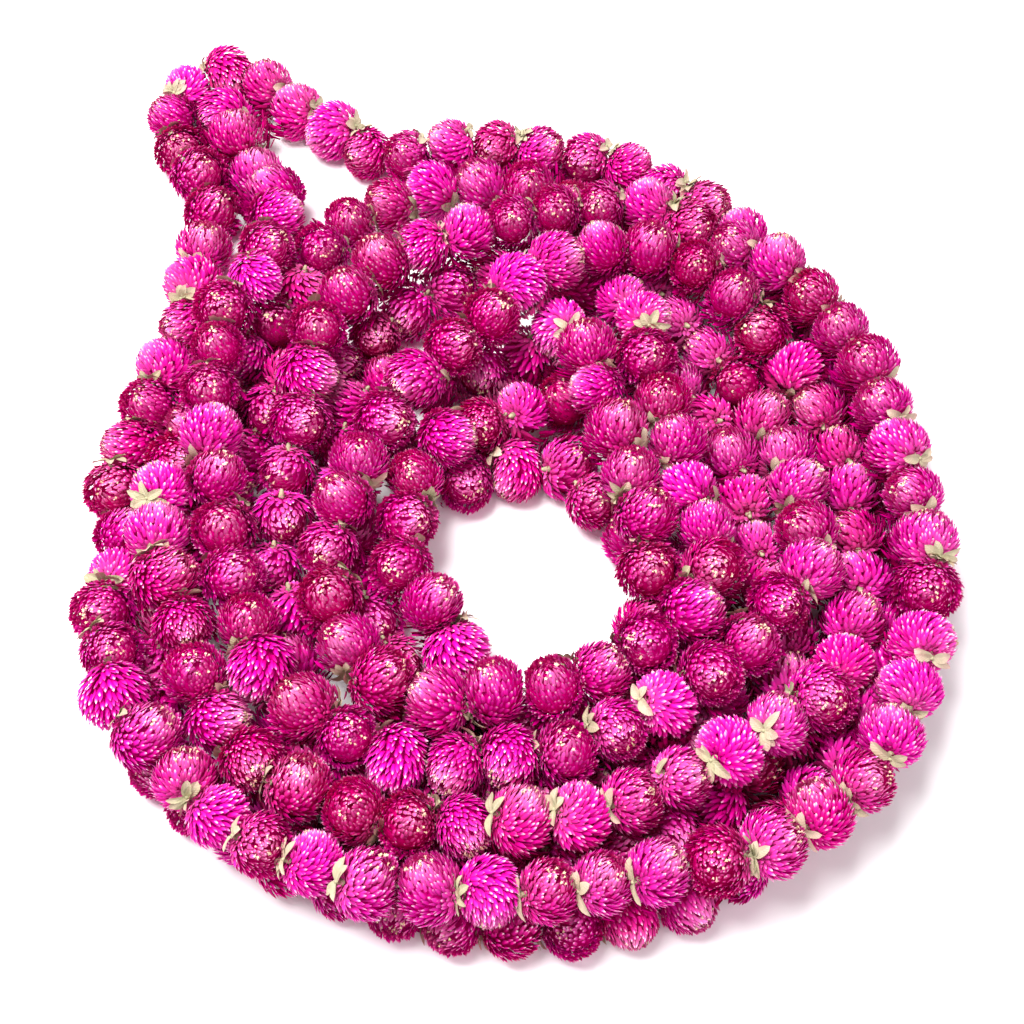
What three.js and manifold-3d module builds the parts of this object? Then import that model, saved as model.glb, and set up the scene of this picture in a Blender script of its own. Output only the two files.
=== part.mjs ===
// Fresh flower lei of globe amaranth heads on a cotton thread, lying coiled on a flat surface.
// Millimetres, +Z up. The origin is under the middle of the whole lei, on the surface that it lies on.

import * as THREE from 'three';
import { mergeVertices } from 'three/addons/utils/BufferGeometryUtils.js';
import Module from 'manifold-3d';

const wasm = await Module();
wasm.setup();

// Flower heads: radius to the bract tips, its spread from head to head, and the share of deep red heads
const HEAD_RADIUS = 11.4;
const RADIUS_SPREAD = 0.07;
const DEEP_SHARE = 0.3;

// Bracts: rings of valleys between them at this share of the radius and latitude, their tips' latitude,
// and the most that a tip falls short of the radius
const VALLEY_SHARE = 0.84;
const VALLEY_LATITUDE = 43;
const TIP_LATITUDE = 26;
const POLE_TIP_LATITUDE = 62;
const TIP_SHORTFALL = 0.05;
const SEEN_VALLEYS = 5;
const HIDDEN_VALLEYS = 4;

// Stringing: centre distance of two neighbours as a share of their radii together, and their sideways shift
const SPACING_SHARE = 0.87;
const SIDE_SHIFT = 4;

// Lie of the strand: clear air between heads that aren't strung side by side, and the flattened underside
const CLEAR_AIR = 0.45;
const FLAT_DEPTH = 1.8;
const SETTLE_ROUNDS = 260;
const FREE_ROUNDS = 60;
const HOLD_SHARE = 0.03;
const NEAR_REACH = 60;

// Thread with a knot inside each end head, and the room for both in the heads
const THREAD_SIDES = 3;
const THREAD_RADIUS = 0.8;
const THREAD_ROOM_RADIUS = 1.5;
const KNOT_SIDES = 5;
const KNOT = { radius: 1.9, halfBelt: 0.6, halfLength: 2 };
const KNOT_ROOM = { radius: 3.1, halfBelt: 0.9, halfLength: 3.3 };
const KNOT_OFFSET = 2.2;

// Waist between two heads, where calyx and stalk join one to the next, with the leaf bracts on it
const WAIST_SIDES = 3;
const WAIST_RADIUS = 4.6;
const WAIST_TURNS = 6;
const LEAVES_PER_WAIST = 2;
const LEAF_REACH = 10.7;
const LEAF_LEAN = 2;
const LEAF_AIR = 0.6;

// A head is seen when it lies open in at least so many of the directions looked in, at this elevation
const LOOK_DIRECTIONS = 8;
const LOOK_ELEVATION = 35;
const OPEN_LOOKS = 3;

// Runs of heads that are made as one piece each, the gap between two runs, and the shorter runs that start
// within reach of the hole's middle
const RUN_GAP = 0.3;
const LONGEST_RUN = 7;
const LONGEST_RIM_RUN = 3;
const RIM_REACH = 78;
const RUN_TURN = 62;
const GROUND_BLOCK = 1000;
const MERGE_DISTANCE = 1e-4;

// In the route's coordinates: middle of the coil's hole, which bearings and radii are taken from, and middle
// of the whole lei's outline, which the origin lies under. Then the steps between two of the route's points.
const HOLE = new THREE.Vector2(2, -35);
const MIDDLE = new THREE.Vector2(0.3, 28.07);
const SPAN_STEPS = 16;

// The strand in order from its free end at the loop's tip. Each row is a bearing in degrees, counted on
// from turn to turn, a radius from the middle of the hole, and a height; or x, y and z near the loop.
const LOOP_INNER_LEG = [
  [-129, 203, 10], [-126, 185, 10], [-117, 168, 12], [-108, 152, 15], [-101, 134, 20], [-99, 114, 26],
  [-104, 95, 31], [-115, 75, 33], [-118, 54, 32],
];
const THIRD_TURN = [
  [160, 124, 30], [180, 113, 30], [210, 100, 30], [240, 85, 29], [270, 83, 29], [300, 79, 29],
  [330, 89, 28], [360, 110, 20], [390, 119, 13], [420, 134, 10],
];
const SECOND_TURN = [
  [435, 170, 10], [446, 184, 15], [453, 187, 19], [461, 187, 20], [467, 187, 18], [473, 181, 16],
  [480, 170, 14], [490, 156, 12], [501, 152, 10], [510, 150, 10], [525, 140, 22], [540, 128, 32],
  [570, 125, 30], [600, 113, 29], [630, 102, 29], [660, 101, 29], [690, 119, 28], [705, 124, 21],
  [720, 132, 15], [750, 143, 12], [765, 146, 22],
];
const FIFTH_TURN = [
  [780, 154, 31], [790, 151, 36], [800, 134, 38], [810, 114, 38], [825, 97, 37], [840, 85, 35],
  [870, 74, 32], [900, 67, 30], [930, 67, 29], [960, 71, 30], [990, 57, 31], [1020, 54, 31],
  [1050, 65, 31], [1080, 71, 30], [1110, 71, 29], [1125, 84, 28], [1140, 107, 27],
];
const UNDER_TURN = [
  [1150, 129, 20], [1160, 143, 12], [1170, 145, 10], [1185, 139, 10], [1200, 124, 10], [1215, 128, 10],
  [1230, 125, 10], [1245, 120, 10], [1260, 135, 10], [1275, 141, 10], [1290, 146, 10], [1320, 135, 10],
  [1350, 127, 10], [1380, 130, 10], [1410, 142, 10], [1440, 152, 10], [1470, 162, 10], [1500, 193, 11],
  [1515, 204, 12], [1530, 212, 12],
];
const LOOP_OUTER_LEG = [
  [-38, 172, 11], [-61, 176, 10], [-86, 193, 10], [-111, 212, 10], [-133, 223, 10], [-149, 211, 10],
  [-150, 190, 10], [-141, 169, 10], [-128, 147, 11], [-128, 126, 12], [-133, 104, 11],
];
const FIRST_TURN = [
  [1580, 176, 11], [1590, 172, 11], [1605, 164, 11], [1620, 148, 13], [1635, 152, 26], [1650, 147, 31],
  [1680, 137, 30], [1710, 126, 29], [1740, 134, 29], [1755, 143, 29], [1770, 147, 29], [1785, 148, 29],
  [1800, 151, 30], [1830, 162, 30], [1845, 169, 29],
];
const FOURTH_TURN = [
  [1860, 174, 28], [1875, 171, 29], [1890, 156, 31], [1905, 146, 32], [1917, 142, 32], [1930, 126, 30],
  [1940, 107, 28], [1950, 104, 24], [1957, 99, 20], [1965, 97, 16], [1980, 94, 13], [1995, 87, 10],
  [2010, 97, 10], [2025, 104, 10], [2040, 104, 10], [2070, 108, 10], [2100, 112, 10], [2115, 112, 10],
  [2130, 115, 10], [2145, 108, 10], [2160, 102, 10], [2190, 103, 10], [2205, 107, 10], [2220, 114, 10],
];
const RIM_TURN = [
  [2232, 100, 10], [2237, 83, 14], [2244, 72, 18], [2258, 64, 21], [2280, 57, 23], [2310, 52, 27],
  [2340, 44, 29], [2370, 38, 27], [2400, 45, 16], [2430, 64, 10], [2460, 67, 10], [2490, 62, 13],
  [2520, 55, 27], [2550, 56, 33], [2580, 70, 30], [2589, 92, 32], [2596, 104, 24],
];
const INNER_TURN = [
  [2605, 108, 13], [2616, 93, 10], [2628, 94, 10], [2640, 102, 10], [2655, 97, 10], [2670, 76, 10],
  [2700, 64, 10], [2715, 61, 10], [2730, 55, 10], [2745, 59, 10], [2760, 68, 10], [2775, 74, 10],
  [2790, 88, 10], [2820, 94, 10], [2850, 83, 10], [2880, 61, 10], [2895, 55, 10], [2910, 48, 10],
  [2925, 50, 10], [2940, 53, 10], [2955, 53, 10], [2970, 48, 10], [2992, 50, 10], [3005, 71, 10],
  [3012, 76, 10],
];

const SEED = 2611;

const petalMaterial = new THREE.MeshStandardMaterial({ color: 0xc4118a, roughness: 0.5, metalness: 0 });
const deepMaterial = new THREE.MeshStandardMaterial({ color: 0x960f5c, roughness: 0.5, metalness: 0 });
const threadMaterial = new THREE.MeshStandardMaterial({ color: 0xe6dfc8, roughness: 0.85, metalness: 0 });

// Even numbers between 0 and 1 from a 32-bit seed, the same on every run
function seededDraw(seed) {
  let state = seed;
  return () => {
    state = (state + 0x6d2b79f5) | 0;
    let bits = Math.imul(state ^ (state >>> 15), 1 | state);
    bits = (bits + Math.imul(bits ^ (bits >>> 7), 61 | bits)) ^ bits;
    return ((bits ^ (bits >>> 14)) >>> 0) / 4294967296;
  };
}

function polarPoint([bearing, radius, height]) {
  const angle = THREE.MathUtils.degToRad(bearing);
  return new THREE.Vector3(HOLE.x + radius * Math.cos(angle), HOLE.y + radius * Math.sin(angle), height);
}

function routePoints() {
  const placed = (rows) => rows.map((row) => new THREE.Vector3(...row));
  const turned = (rows) => rows.map(polarPoint);
  return [
    ...placed(LOOP_INNER_LEG), ...turned(THIRD_TURN), ...turned(SECOND_TURN), ...turned(FIFTH_TURN),
    ...turned(UNDER_TURN), ...placed(LOOP_OUTER_LEG), ...turned(FIRST_TURN), ...turned(FOURTH_TURN),
    ...turned(RIM_TURN), ...turned(INNER_TURN),
  ];
}

// Value at t between q and r of the uniform Catmull-Rom spline through p, q, r and s
function splineValue(p, q, r, s, t) {
  const [bend, twist] = [2 * p - 5 * q + 4 * r - s, 3 * q - p - 3 * r + s];
  return 0.5 * (2 * q + (r - p) * t + bend * t * t + twist * t * t * t);
}

// Smooth line through the route's points, in short straight steps
function smoothLine(points) {
  const line = [];
  for (let span = 0; span + 1 < points.length; span += 1) {
    const [b, c] = [points[span], points[span + 1]];
    const a = points[span - 1] ?? b.clone().multiplyScalar(2).sub(c);
    const d = points[span + 2] ?? c.clone().multiplyScalar(2).sub(b);
    for (let step = 0; step < SPAN_STEPS; step += 1) {
      const at = (axis) => splineValue(a[axis], b[axis], c[axis], d[axis], step / SPAN_STEPS);
      line.push(new THREE.Vector3(at('x'), at('y'), at('z')));
    }
  }
  line.push(points.at(-1).clone());
  return line;
}

// Heads strung along the line at their spacing, each a little off it to one side
function strungHeads() {
  const draw = seededDraw(SEED);
  const line = smoothLine(routePoints());
  const heads = [];
  let walked = 0;
  let due = 0;
  let radius = HEAD_RADIUS * (1 + RADIUS_SPREAD * (2 * draw() - 1));
  for (let index = 1; index < line.length; index += 1) {
    const stretch = line[index].clone().sub(line[index - 1]);
    const length = stretch.length();
    while (walked + length >= due) {
      const centre = line[index - 1].clone().addScaledVector(stretch, (due - walked) / length);
      centre.x += SIDE_SHIFT * (2 * draw() - 1);
      centre.y += SIDE_SHIFT * (2 * draw() - 1);
      centre.z += SIDE_SHIFT * (2 * draw() - 1);
      const next = HEAD_RADIUS * (1 + RADIUS_SPREAD * (2 * draw() - 1));
      heads.push({ centre, home: centre.clone(), radius });
      due += SPACING_SHARE * (radius + next);
      radius = next;
    }
    walked += length;
  }
  return heads;
}

// Moves two heads apart or together along their line until their centres are at the wanted distance
function spread(one, other, wanted) {
  const way = other.centre.clone().sub(one.centre);
  const far = way.length();
  way.multiplyScalar((0.5 * (wanted - far)) / far);
  one.centre.sub(way);
  other.centre.add(way);
}

// Lets the strand settle: heads push apart, neighbours keep their spacing, none sinks into the surface
function settle(heads) {
  const near = [];
  heads.forEach((one, i) => {
    for (let j = i + 2; j < heads.length; j += 1) {
      if (one.centre.distanceTo(heads[j].centre) < NEAR_REACH) near.push([one, heads[j]]);
    }
  });
  for (let round = 0; round < SETTLE_ROUNDS; round += 1) {
    const hold = round < SETTLE_ROUNDS - FREE_ROUNDS ? HOLD_SHARE : 0;
    for (const head of heads) head.centre.lerp(head.home, hold);
    for (let i = 1; i < heads.length; i += 1) {
      spread(heads[i - 1], heads[i], SPACING_SHARE * (heads[i - 1].radius + heads[i].radius));
    }
    for (const [one, other] of near) {
      const wanted = one.radius + other.radius + CLEAR_AIR;
      if (one.centre.distanceToSquared(other.centre) < wanted * wanted) spread(one, other, wanted);
    }
    for (const head of heads) head.centre.z = Math.max(head.centre.z, head.radius - FLAT_DEPTH);
  }
}

// Direction of the strand at a point of it, with two directions across it, the first one level
function frameAlong(direction) {
  const along = direction.clone().normalize();
  const side = new THREE.Vector3(-along.y, along.x, 0).normalize();
  return { along, side, across: along.clone().cross(side) };
}

function outward(frame, angle) {
  return frame.side.clone().multiplyScalar(Math.cos(angle)).addScaledVector(frame.across, Math.sin(angle));
}

// Each head's own frame, the turn of its bracts round the thread, and its colour
function giveFrames(heads) {
  const draw = seededDraw(SEED + 1);
  heads.forEach((head, i) => {
    const before = heads[Math.max(0, i - 1)].centre;
    const after = heads[Math.min(heads.length - 1, i + 1)].centre;
    head.frame = frameAlong(after.clone().sub(before));
    head.turn = 2 * Math.PI * draw();
    head.deep = draw() < DEEP_SHARE;
  });
}

// Whether a straight look from a head in a direction meets no other head
function looksOut(heads, head, direction) {
  return heads.every((other) => {
    const way = other.centre.clone().sub(head.centre);
    const ahead = way.dot(direction);
    const aside = Math.sqrt(Math.max(0, way.lengthSq() - ahead * ahead));
    return other === head || ahead < head.radius || aside > head.radius;
  });
}

function markSeen(heads) {
  const rise = THREE.MathUtils.degToRad(LOOK_ELEVATION);
  const looks = Array.from({ length: LOOK_DIRECTIONS }, (_, k) => {
    const turn = (2 * Math.PI * k) / LOOK_DIRECTIONS;
    const level = new THREE.Vector3(Math.cos(turn), Math.sin(turn), 0);
    return level.multiplyScalar(Math.cos(rise)).setZ(Math.sin(rise));
  });
  for (const head of heads) {
    head.seen = looks.filter((look) => looksOut(heads, head, look)).length >= OPEN_LOOKS;
  }
}

// The waist between each head and the next, turned so that its leaf bracts reach clear of other heads
function waistsOf(heads) {
  const waists = [];
  for (let i = 0; i + 1 < heads.length; i += 1) {
    const [one, other] = [heads[i], heads[i + 1]];
    const middle = one.centre.clone().add(other.centre).multiplyScalar(0.5);
    const frame = frameAlong(other.centre.clone().sub(one.centre));
    const waist = { middle, frame, turn: 0, leaves: [] };
    const others = heads.filter((head) => head !== one && head !== other);
    const reaches = (angle) => {
      const tip = leafTip(waist, angle);
      const clear = others.every((head) => tip.distanceTo(head.centre) > head.radius + LEAF_AIR);
      return clear && tip.z > LEAF_AIR
        && looksOut(heads, { centre: middle, radius: HEAD_RADIUS }, outward(frame, angle));
    };
    for (let k = 0; k < WAIST_TURNS && one.seen && other.seen; k += 1) {
      const step = (2 * Math.PI) / WAIST_SIDES;
      const turn = (step * k) / WAIST_TURNS;
      const sides = Array.from({ length: WAIST_SIDES }, (_, side) => turn + step * (side + 0.5));
      const leaves = sides.filter(reaches).slice(0, LEAVES_PER_WAIST);
      if (leaves.length > waist.leaves.length) Object.assign(waist, { turn, leaves });
    }
    waists.push(waist);
  }
  return waists;
}

function leafTip(waist, angle) {
  return waist.middle.clone().addScaledVector(outward(waist.frame, angle), LEAF_REACH)
    .addScaledVector(waist.frame.along, LEAF_LEAN);
}

// A closed skin that grows ring by ring along the strand. A ring of one point is a pole.
class Skin {
  constructor() {
    this.points = [];
    this.index = [];
    this.last = null;
    this.first = null;
  }

  ring(centre, frame, count, radius, shift, turn) {
    const start = this.points.length;
    const step = (2 * Math.PI) / count;
    for (let k = 0; k < count; k += 1) {
      const point = centre.clone().addScaledVector(frame.along, shift);
      if (count > 1) point.addScaledVector(outward(frame, turn + step * k), radius);
      this.points.push(point);
    }
    return { start, count, step, turn };
  }

  // Joins a new ring to the last one. A face for which tipOf gives a point gets a bract or leaf there.
  grow(next, tipOf = () => null) {
    if (this.last) this.join(this.last, next, tipOf);
    this.first ??= next;
    this.last = next;
  }

  close() {
    this.join(this.last, this.first, () => null);
  }

  join(low, high, tipOf) {
    const lows = low.count > 1 ? low.count : 0;
    const highs = high.count > 1 ? high.count : 0;
    const shift = lows && highs ? Math.round((low.turn - high.turn) / high.step) : 0;
    const at = (ring, k) => ring.start + (((k % ring.count) + ring.count) % ring.count);
    const [lowMiddle, highMiddle] = [
      (k) => low.turn + (k + 0.5) * low.step,
      (j) => high.turn + (j + shift + 0.5) * high.step,
    ];
    let [k, j] = [0, 0];
    while (k < lows || j < highs) {
      if (j === highs || (k < lows && lowMiddle(k) <= highMiddle(j))) {
        this.face([at(low, k), at(low, k + 1), at(high, j + shift)], tipOf('low', lowMiddle(k)));
        k += 1;
      } else {
        this.face([at(low, k), at(high, j + shift + 1), at(high, j + shift)], tipOf('high', highMiddle(j)));
        j += 1;
      }
    }
  }

  face([a, b, c], tip) {
    if (!tip) {
      this.index.push(a, b, c);
      return;
    }
    const t = this.points.push(tip) - 1;
    this.index.push(a, b, t, b, c, t, c, a, t);
  }

  geometry() {
    const geometry = new THREE.BufferGeometry().setFromPoints(this.points);
    geometry.setIndex(this.index);
    return geometry;
  }
}

// Keeps a bract tip on its own side of the waists before and after its head
function keptBetween(tip, waists) {
  for (const [waist, sign] of [[waists[0], -1], [waists[1], 1]]) {
    if (!waist) continue;
    const past = tip.clone().sub(waist.middle).dot(waist.frame.along) * sign + RUN_GAP;
    if (past > 0) tip.addScaledVector(waist.frame.along, -sign * past);
  }
  return tip;
}

function growHead(skin, head, waists, draw) {
  const count = head.seen ? SEEN_VALLEYS : HIDDEN_VALLEYS;
  const latitude = THREE.MathUtils.degToRad(VALLEY_LATITUDE);
  const valley = head.radius * VALLEY_SHARE;
  const [shift, radius] = [valley * Math.sin(latitude), valley * Math.cos(latitude)];
  const tipAt = (degrees, angle) => {
    const rise = THREE.MathUtils.degToRad(degrees);
    const length = head.radius * (1 - TIP_SHORTFALL * draw());
    const tip = head.centre.clone().addScaledVector(head.frame.along, length * Math.sin(rise));
    return keptBetween(tip.addScaledVector(outward(head.frame, angle), length * Math.cos(rise)), waists);
  };
  const halfStep = Math.PI / count;
  const back = skin.ring(head.centre, head.frame, count, radius, -shift, head.turn);
  const front = skin.ring(head.centre, head.frame, count, radius, shift, head.turn + halfStep);
  if (waists[0]) {
    const hasLeaf = (edge, angle) => edge === 'low' && waists[0].leaves.includes(angle);
    skin.grow(back, (edge, angle) => (hasLeaf(edge, angle) ? leafTip(waists[0], angle) : null));
  } else {
    skin.grow(skin.ring(head.centre, head.frame, 1, 0, -valley, 0));
    skin.grow(back, (edge, angle) => tipAt(-POLE_TIP_LATITUDE, angle));
  }
  skin.grow(front, (edge, angle) => {
    if (!head.seen) return edge === 'low' ? tipAt(0, angle) : null;
    return tipAt(edge === 'low' ? -TIP_LATITUDE : TIP_LATITUDE, angle);
  });
  if (!waists[1]) {
    const pole = skin.ring(head.centre, head.frame, 1, 0, valley, 0);
    skin.grow(pole, (edge, angle) => tipAt(POLE_TIP_LATITUDE, angle));
  }
}

function waistRing(skin, waist, shift) {
  return skin.ring(waist.middle, waist.frame, WAIST_SIDES, WAIST_RADIUS, shift, waist.turn);
}

// Knot at a thread's end, or the room for it: a barrel that runs to a pole, on the end head's outer side
function growKnot(skin, head, sign, size, growing) {
  const shift = (along) => sign * (KNOT_OFFSET + along);
  const belt = (along) => skin.ring(head.centre, head.frame, KNOT_SIDES, size.radius, shift(along), 0);
  const rings = [
    () => skin.ring(head.centre, head.frame, 1, 0, shift(size.halfLength), 0),
    () => belt(size.halfBelt),
    () => belt(-size.halfBelt),
  ];
  const order = growing === 'outward' ? rings.reverse() : rings;
  for (const make of order) skin.grow(make());
}

function threadGeometry(heads) {
  const skin = new Skin();
  growKnot(skin, heads[0], -1, KNOT, 'inward');
  for (const { centre, frame } of heads) {
    skin.grow(skin.ring(centre, frame, THREAD_SIDES, THREAD_RADIUS, 0, 0));
  }
  growKnot(skin, heads.at(-1), 1, KNOT, 'outward');
  return skin.geometry();
}

// Cuts the strand into runs: a run ends when it is full or has turned far enough
function runsOf(heads) {
  const runs = [];
  let first = 0;
  for (let i = 1; i <= heads.length; i += 1) {
    const { centre, frame } = heads[first];
    const atRim = Math.hypot(centre.x - HOLE.x, centre.y - HOLE.y) < RIM_REACH;
    const longest = atRim ? LONGEST_RIM_RUN : LONGEST_RUN;
    const turned = i < heads.length ? frame.along.angleTo(heads[i].frame.along) : 0;
    if (i === heads.length || i - first >= longest || turned > THREE.MathUtils.degToRad(RUN_TURN)) {
      runs.push([first, i - 1]);
      first = i;
    }
  }
  return runs;
}

// The skin of a run: out along its heads, then back through the room for the thread
function runGeometry(heads, waists, [first, last], draw) {
  const skin = new Skin();
  const [before, after] = [waists[first - 1], waists[last]];
  const room = ({ centre, middle, frame }, shift = 0) =>
    skin.grow(skin.ring(centre ?? middle, frame, THREAD_SIDES, THREAD_ROOM_RADIUS, shift, 0));
  if (before) skin.grow(waistRing(skin, before, RUN_GAP / 2));
  for (let i = first; i <= last; i += 1) {
    growHead(skin, heads[i], [waists[i - 1], waists[i]], draw);
    if (waists[i]) skin.grow(waistRing(skin, waists[i], i === last ? -RUN_GAP / 2 : 0));
  }
  if (after) {
    room(after, -RUN_GAP / 2);
  } else {
    skin.last = null;
    growKnot(skin, heads[last], 1, KNOT_ROOM, 'inward');
  }
  for (let i = last; i >= first; i -= 1) room(heads[i]);
  if (before) {
    room(before, RUN_GAP / 2);
    skin.close();
  } else {
    growKnot(skin, heads[first], -1, KNOT_ROOM, 'outward');
  }
  return skin.geometry();
}

function solidOf(geometry) {
  const merged = mergeVertices(geometry, MERGE_DISTANCE);
  return new wasm.Manifold(new wasm.Mesh({
    numProp: 3,
    vertProperties: new Float32Array(merged.attributes.position.array),
    triVerts: new Uint32Array(merged.index.array),
  }));
}

function geometryOf(solid) {
  const mesh = solid.getMesh();
  const geometry = new THREE.BufferGeometry();
  geometry.setAttribute('position', new THREE.BufferAttribute(new Float32Array(mesh.vertProperties), 3));
  geometry.setIndex(new THREE.BufferAttribute(new Uint32Array(mesh.triVerts), 1));
  return geometry;
}

// A run that touches the surface is pressed flat there, so its lowest bracts end in flat spots
function grounded(geometry, ground) {
  geometry.computeBoundingBox();
  return geometry.boundingBox.min.z < 0 ? geometryOf(solidOf(geometry).subtract(ground)) : geometry;
}

function groundSolid() {
  const block = new THREE.BoxGeometry(GROUND_BLOCK, GROUND_BLOCK, GROUND_BLOCK);
  block.deleteAttribute('normal');
  block.deleteAttribute('uv');
  return solidOf(block.translate(0, 0, -GROUND_BLOCK / 2));
}

function namedMesh(name, geometry, material) {
  geometry.computeVertexNormals();
  const mesh = new THREE.Mesh(geometry, material);
  mesh.name = name;
  return mesh;
}

function makeLei() {
  const heads = strungHeads();
  settle(heads);
  giveFrames(heads);
  markSeen(heads);
  const waists = waistsOf(heads);
  const ground = groundSolid();
  const draw = seededDraw(SEED + 2);
  const lei = new THREE.Group();
  lei.position.set(-MIDDLE.x, -MIDDLE.y, 0);
  lei.add(namedMesh('thread', threadGeometry(heads), threadMaterial));
  runsOf(heads).forEach((run, k) => {
    const name = `heads_${String(k + 1).padStart(2, '0')}`;
    const material = heads[run[0]].deep ? deepMaterial : petalMaterial;
    lei.add(namedMesh(name, grounded(runGeometry(heads, waists, run, draw), ground), material));
  });
  return lei;
}

export default makeLei();
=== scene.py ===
# Fresh flower lei of globe amaranth heads on a cotton thread, lying coiled on a pale floor.
# Sizes are in millimetres, as in the part's own source, and MM turns them into metres.

import math

import bmesh
import bpy
import numpy as np
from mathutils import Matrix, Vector


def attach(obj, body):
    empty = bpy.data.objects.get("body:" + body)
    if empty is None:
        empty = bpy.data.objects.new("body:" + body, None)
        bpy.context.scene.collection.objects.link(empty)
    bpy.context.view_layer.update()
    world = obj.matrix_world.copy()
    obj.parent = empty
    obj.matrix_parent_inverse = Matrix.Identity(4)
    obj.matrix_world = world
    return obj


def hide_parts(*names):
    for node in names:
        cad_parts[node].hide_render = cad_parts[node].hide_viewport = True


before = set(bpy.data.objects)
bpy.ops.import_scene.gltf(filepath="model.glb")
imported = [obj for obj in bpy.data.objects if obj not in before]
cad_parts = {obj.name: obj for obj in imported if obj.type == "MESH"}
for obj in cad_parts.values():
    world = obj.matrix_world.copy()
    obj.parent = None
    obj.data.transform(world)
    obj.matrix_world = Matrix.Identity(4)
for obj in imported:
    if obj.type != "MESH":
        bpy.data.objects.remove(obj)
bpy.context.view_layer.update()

MM = 0.001

# Flower heads: radius and its spread, share of crimson ones, and how close and far aside they are strung
HEAD_RADIUS = 11.4
RADIUS_SPREAD = 0.07
DEEP_SHARE = 0.3
SPACING_SHARE = 0.87
SIDE_SHIFT = 4

# Settling: air between heads, depth that one presses flat on the surface, rounds, the last of them free of
# the route, the route's hold on a head, and how near two heads start that can meet
CLEAR_AIR = 0.45
FLAT_DEPTH = 1.8
SETTLE_ROUNDS = 260
FREE_ROUNDS = 60
HOLD_SHARE = 0.03
NEAR_REACH = 60

# Meeting of fine bracts: air over the surface, how near a head is that they can meet, and how far their
# tips cross the middle between two heads
FLOOR_AIR = 0.1
CONTACT_REACH = 36
TIP_OVERLAP = 0.5

# Waists between heads: places for leaf bracts round the thread, turns tried, and the reach, lean and air
# that a leaf bract needs
WAIST_SIDES = 3
WAIST_TURNS = 6
LEAVES_PER_WAIST = 2
LEAF_REACH = 10.7
LEAF_LEAN = 2
LEAF_AIR = 0.6

# A head is seen when it lies open in at least so many of the directions looked in, at this elevation. The
# direction that it opens to is also pulled upward.
LOOK_DIRECTIONS = 8
LOOK_ELEVATION = 35
OPEN_LOOKS = 3
UPWARD_PULL = 1.2

# Runs of heads, one piece each: the most heads, also near the coil's hole, and the turn that ends a run
LONGEST_RUN = 7
LONGEST_RIM_RUN = 3
RIM_REACH = 78
RUN_TURN = 62

# Middle of the coil's hole and of the lei's outline, and the line's steps from one point to the next
HOLE = (2, -35)
MIDDLE = (0.3, 28.07)
SPAN_STEPS = 16

# The strand in order from its free end at the loop's tip. Each row is a bearing in degrees, counted on
# from turn to turn, a radius from the middle of the hole, and a height; or x, y and z near the loop.
LOOP_INNER_LEG = [
    (-129, 203, 10), (-126, 185, 10), (-117, 168, 12), (-108, 152, 15), (-101, 134, 20), (-99, 114, 26),
    (-104, 95, 31), (-115, 75, 33), (-118, 54, 32),
]
THIRD_TURN = [
    (160, 124, 30), (180, 113, 30), (210, 100, 30), (240, 85, 29), (270, 83, 29), (300, 79, 29),
    (330, 89, 28), (360, 110, 20), (390, 119, 13), (420, 134, 10),
]
SECOND_TURN = [
    (435, 170, 10), (446, 184, 15), (453, 187, 19), (461, 187, 20), (467, 187, 18), (473, 181, 16),
    (480, 170, 14), (490, 156, 12), (501, 152, 10), (510, 150, 10), (525, 140, 22), (540, 128, 32),
    (570, 125, 30), (600, 113, 29), (630, 102, 29), (660, 101, 29), (690, 119, 28), (705, 124, 21),
    (720, 132, 15), (750, 143, 12), (765, 146, 22),
]
FIFTH_TURN = [
    (780, 154, 31), (790, 151, 36), (800, 134, 38), (810, 114, 38), (825, 97, 37), (840, 85, 35),
    (870, 74, 32), (900, 67, 30), (930, 67, 29), (960, 71, 30), (990, 57, 31), (1020, 54, 31),
    (1050, 65, 31), (1080, 71, 30), (1110, 71, 29), (1125, 84, 28), (1140, 107, 27),
]
UNDER_TURN = [
    (1150, 129, 20), (1160, 143, 12), (1170, 145, 10), (1185, 139, 10), (1200, 124, 10),
    (1215, 128, 10), (1230, 125, 10), (1245, 120, 10), (1260, 135, 10), (1275, 141, 10),
    (1290, 146, 10), (1320, 135, 10), (1350, 127, 10), (1380, 130, 10), (1410, 142, 10),
    (1440, 152, 10), (1470, 162, 10), (1500, 193, 11), (1515, 204, 12), (1530, 212, 12),
]
LOOP_OUTER_LEG = [
    (-38, 172, 11), (-61, 176, 10), (-86, 193, 10), (-111, 212, 10), (-133, 223, 10), (-149, 211, 10),
    (-150, 190, 10), (-141, 169, 10), (-128, 147, 11), (-128, 126, 12), (-133, 104, 11),
]
FIRST_TURN = [
    (1580, 176, 11), (1590, 172, 11), (1605, 164, 11), (1620, 148, 13), (1635, 152, 26),
    (1650, 147, 31), (1680, 137, 30), (1710, 126, 29), (1740, 134, 29), (1755, 143, 29),
    (1770, 147, 29), (1785, 148, 29), (1800, 151, 30), (1830, 162, 30), (1845, 169, 29),
]
FOURTH_TURN = [
    (1860, 174, 28), (1875, 171, 29), (1890, 156, 31), (1905, 146, 32), (1917, 142, 32),
    (1930, 126, 30), (1940, 107, 28), (1950, 104, 24), (1957, 99, 20), (1965, 97, 16), (1980, 94, 13),
    (1995, 87, 10), (2010, 97, 10), (2025, 104, 10), (2040, 104, 10), (2070, 108, 10), (2100, 112, 10),
    (2115, 112, 10), (2130, 115, 10), (2145, 108, 10), (2160, 102, 10), (2190, 103, 10),
    (2205, 107, 10), (2220, 114, 10),
]
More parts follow.
